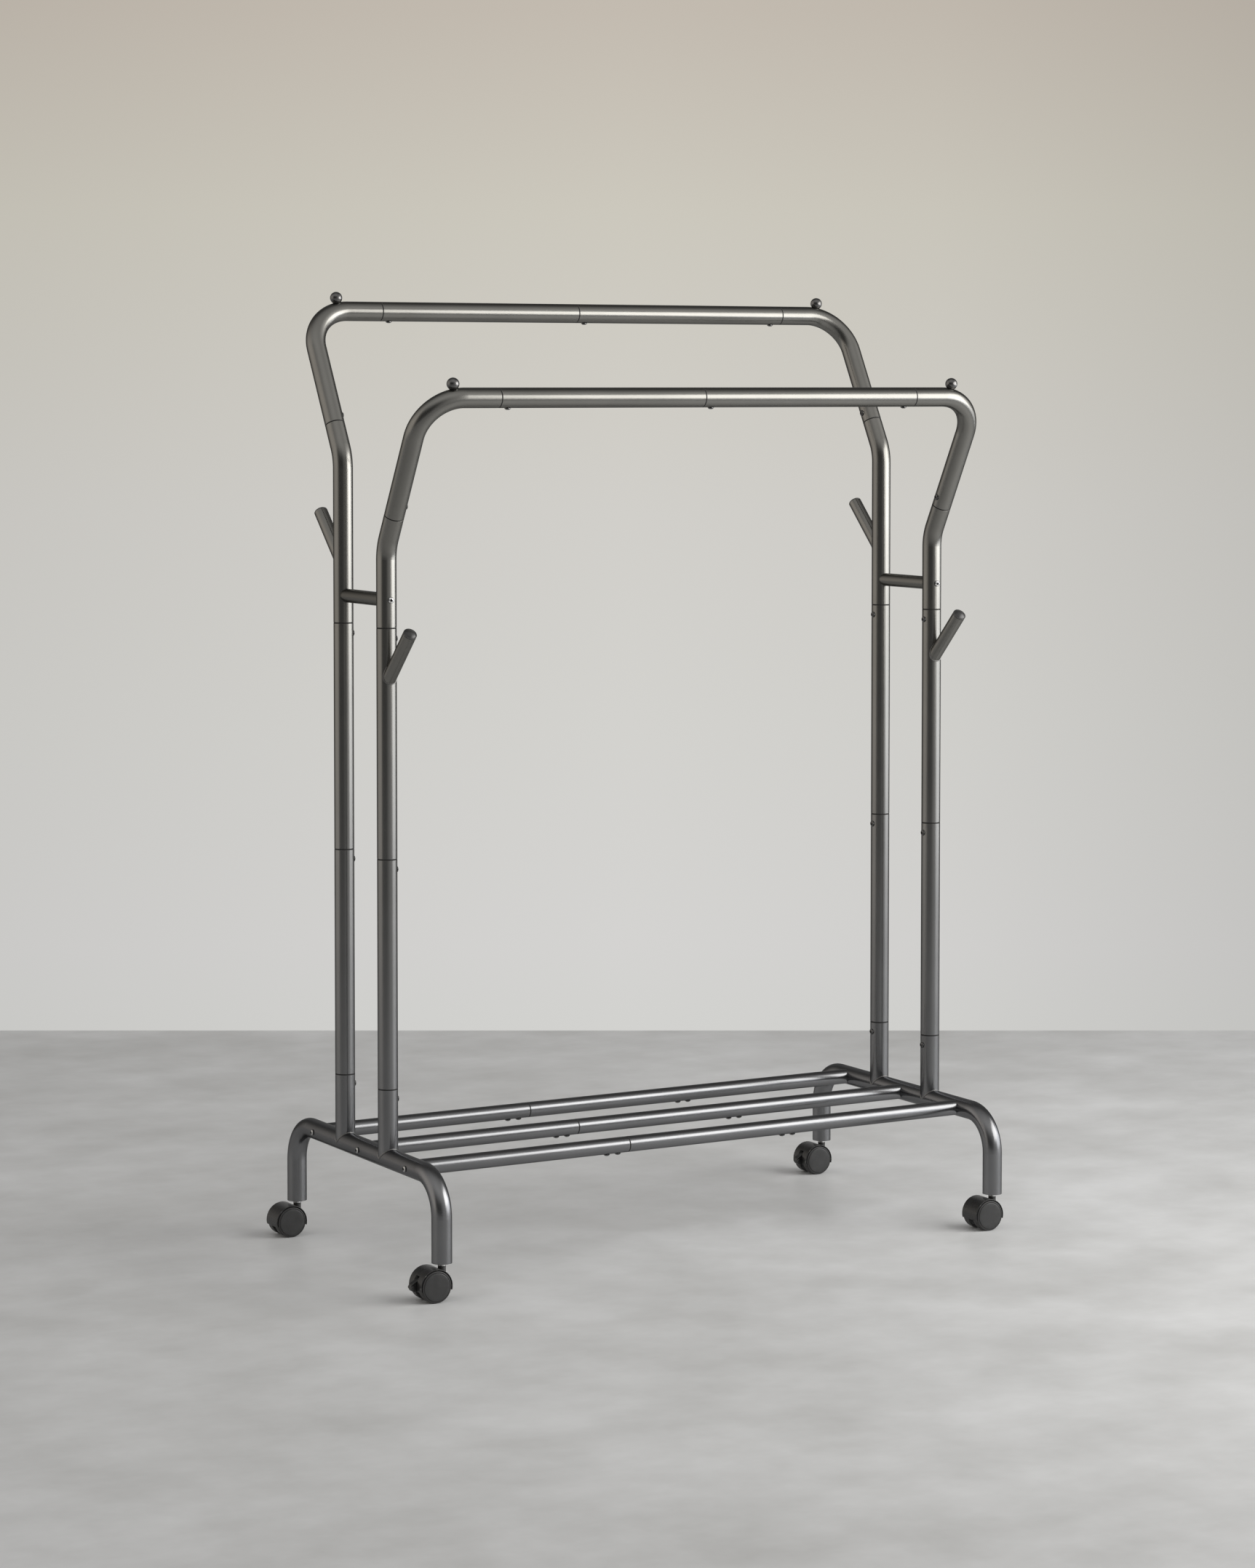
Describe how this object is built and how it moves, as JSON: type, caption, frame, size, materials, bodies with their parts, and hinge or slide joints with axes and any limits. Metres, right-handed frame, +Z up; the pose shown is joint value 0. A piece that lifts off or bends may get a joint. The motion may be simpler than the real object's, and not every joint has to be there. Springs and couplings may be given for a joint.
{
  "type": "rolling clothes rack",
  "caption": "Rolling clothes rack of screwed gunmetal tube with two staggered hanger rails, angled coat pegs, a low shelf of bars and twin-wheel casters.",
  "frame": {"origin": "on the floor, at the middle of the object's box with the casters trailing to the left", "axes": "+X to the right along the rails, +Y to the back, towards the higher rail, +Z up"},
  "size_m": [1.1023, 0.573, 1.5555],
  "materials": {
    "gunmetal_paint": "satin metallic gunmetal powder coat",
    "knob_metal": "satin metallic, slightly darker than the tubes",
    "black_steel": "black oxide, satin",
    "bright_steel": "bright zinc plating",
    "plain_steel": "zinc plated, inside the tubes and wheels",
    "cap_plastic": "black moulded plastic",
    "caster_plastic": "black moulded plastic, fine grain",
    "wheel_plastic": "dark grey moulded nylon, satin"
  },
  "bodies": {
    "frame": {"left_foot": "gunmetal_paint", "right_foot": "gunmetal_paint", "back_left_lower_post": "gunmetal_paint", "back_right_lower_post": "gunmetal_paint", "front_left_lower_post": "gunmetal_paint", "front_right_lower_post": "gunmetal_paint", "back_left_middle_post": "gunmetal_paint", "back_right_middle_post": "gunmetal_paint", "front_left_middle_post": "gunmetal_paint", "front_right_middle_post": "gunmetal_paint", "back_left_upper_post": "gunmetal_paint", "back_right_upper_post": "gunmetal_paint", "front_left_upper_post": "gunmetal_paint", "front_right_upper_post": "gunmetal_paint", "back_left_corner": "gunmetal_paint", "back_right_corner": "gunmetal_paint", "front_left_corner": "gunmetal_paint", "front_right_corner": "gunmetal_paint", "back_rail_left": "gunmetal_paint", "back_rail_right": "gunmetal_paint", "front_rail_left": "gunmetal_paint", "front_rail_right": "gunmetal_paint", "left_crossbar": "gunmetal_paint", "right_crossbar": "gunmetal_paint", "coat_pegs": "gunmetal_paint", "peg_caps": "cap_plastic", "ball_knobs": "knob_metal", "back_shelf_bar_left": "gunmetal_paint", "back_shelf_bar_right": "gunmetal_paint", "middle_shelf_bar_left": "gunmetal_paint", "middle_shelf_bar_right": "gunmetal_paint", "front_shelf_bar_left": "gunmetal_paint", "front_shelf_bar_right": "gunmetal_paint", "shelf_sleeves": "plain_steel", "shelf_end_plugs": "plain_steel", "crossbar_plugs": "plain_steel", "joint_screws": "black_steel", "joint_nuts": "plain_steel", "foot_bolts": "black_steel", "crossbar_bolts": "bright_steel", "caster_sockets": "cap_plastic", "caster_stems": "plain_steel"},
    "back_left_caster": {"back_left_hood": "caster_plastic", "back_left_axle": "plain_steel"},
    "back_left_front_wheel": {"back_left_front_wheel": "wheel_plastic"},
    "back_left_back_wheel": {"back_left_back_wheel": "wheel_plastic"},
    "back_right_caster": {"back_right_hood": "caster_plastic", "back_right_axle": "plain_steel"},
    "back_right_front_wheel": {"back_right_front_wheel": "wheel_plastic"},
    "back_right_back_wheel": {"back_right_back_wheel": "wheel_plastic"},
    "back_right_brake_lever": {"back_right_brake_lever": "caster_plastic"},
    "front_left_caster": {"front_left_hood": "caster_plastic", "front_left_axle": "plain_steel"},
    "front_left_front_wheel": {"front_left_front_wheel": "wheel_plastic"},
    "front_left_back_wheel": {"front_left_back_wheel": "wheel_plastic"},
    "front_left_brake_lever": {"front_left_brake_lever": "caster_plastic"},
    "front_right_caster": {"front_right_hood": "caster_plastic", "front_right_axle": "plain_steel"},
    "front_right_front_wheel": {"front_right_front_wheel": "wheel_plastic"},
    "front_right_back_wheel": {"front_right_back_wheel": "wheel_plastic"}
  },
  "joints": [
    {"name": "back_left_swivel", "type": "hinge", "parent": "frame", "child": "back_left_caster", "pos_m": [-0.49578, 0.264, 0.05], "axis": [0, 0, 1], "continuous": true},
    {"name": "back_left_front_wheel_spin", "type": "hinge", "parent": "back_left_caster", "child": "back_left_front_wheel", "pos_m": [-0.51477, 0.264, 0.025], "axis": [0, 1, 0], "continuous": true},
    {"name": "back_left_back_wheel_spin", "type": "hinge", "parent": "back_left_caster", "child": "back_left_back_wheel", "pos_m": [-0.51477, 0.264, 0.025], "axis": [0, 1, 0], "continuous": true},
    {"name": "back_right_swivel", "type": "hinge", "parent": "frame", "child": "back_right_caster", "pos_m": [0.53222, 0.264, 0.05], "axis": [0, 0, 1], "continuous": true},
    {"name": "back_right_front_wheel_spin", "type": "hinge", "parent": "back_right_caster", "child": "back_right_front_wheel", "pos_m": [0.51323, 0.264, 0.025], "axis": [0, 1, 0], "continuous": true},
    {"name": "back_right_back_wheel_spin", "type": "hinge", "parent": "back_right_caster", "child": "back_right_back_wheel", "pos_m": [0.51323, 0.264, 0.025], "axis": [0, 1, 0], "continuous": true},
    {"name": "back_right_brake_press", "type": "hinge", "parent": "back_right_caster", "child": "back_right_brake_lever", "pos_m": [0.49547, 0.264, 0.03525], "axis": [0, -1, 0], "range_deg": [0, 12]},
    {"name": "front_left_swivel", "type": "hinge", "parent": "frame", "child": "front_left_caster", "pos_m": [-0.49578, -0.264, 0.05], "axis": [0, 0, 1], "continuous": true},
    {"name": "front_left_front_wheel_spin", "type": "hinge", "parent": "front_left_caster", "child": "front_left_front_wheel", "pos_m": [-0.51477, -0.264, 0.025], "axis": [0, 1, 0], "continuous": true},
    {"name": "front_left_back_wheel_spin", "type": "hinge", "parent": "front_left_caster", "child": "front_left_back_wheel", "pos_m": [-0.51477, -0.264, 0.025], "axis": [0, 1, 0], "continuous": true},
    {"name": "front_left_brake_press", "type": "hinge", "parent": "front_left_caster", "child": "front_left_brake_lever", "pos_m": [-0.53253, -0.264, 0.03525], "axis": [0, -1, 0], "range_deg": [0, 12]},
    {"name": "front_right_swivel", "type": "hinge", "parent": "frame", "child": "front_right_caster", "pos_m": [0.53222, -0.264, 0.05], "axis": [0, 0, 1], "continuous": true},
    {"name": "front_right_front_wheel_spin", "type": "hinge", "parent": "front_right_caster", "child": "front_right_front_wheel", "pos_m": [0.51323, -0.264, 0.025], "axis": [0, 1, 0], "continuous": true},
    {"name": "front_right_back_wheel_spin", "type": "hinge", "parent": "front_right_caster", "child": "front_right_back_wheel", "pos_m": [0.51323, -0.264, 0.025], "axis": [0, 1, 0], "continuous": true}
  ]
}
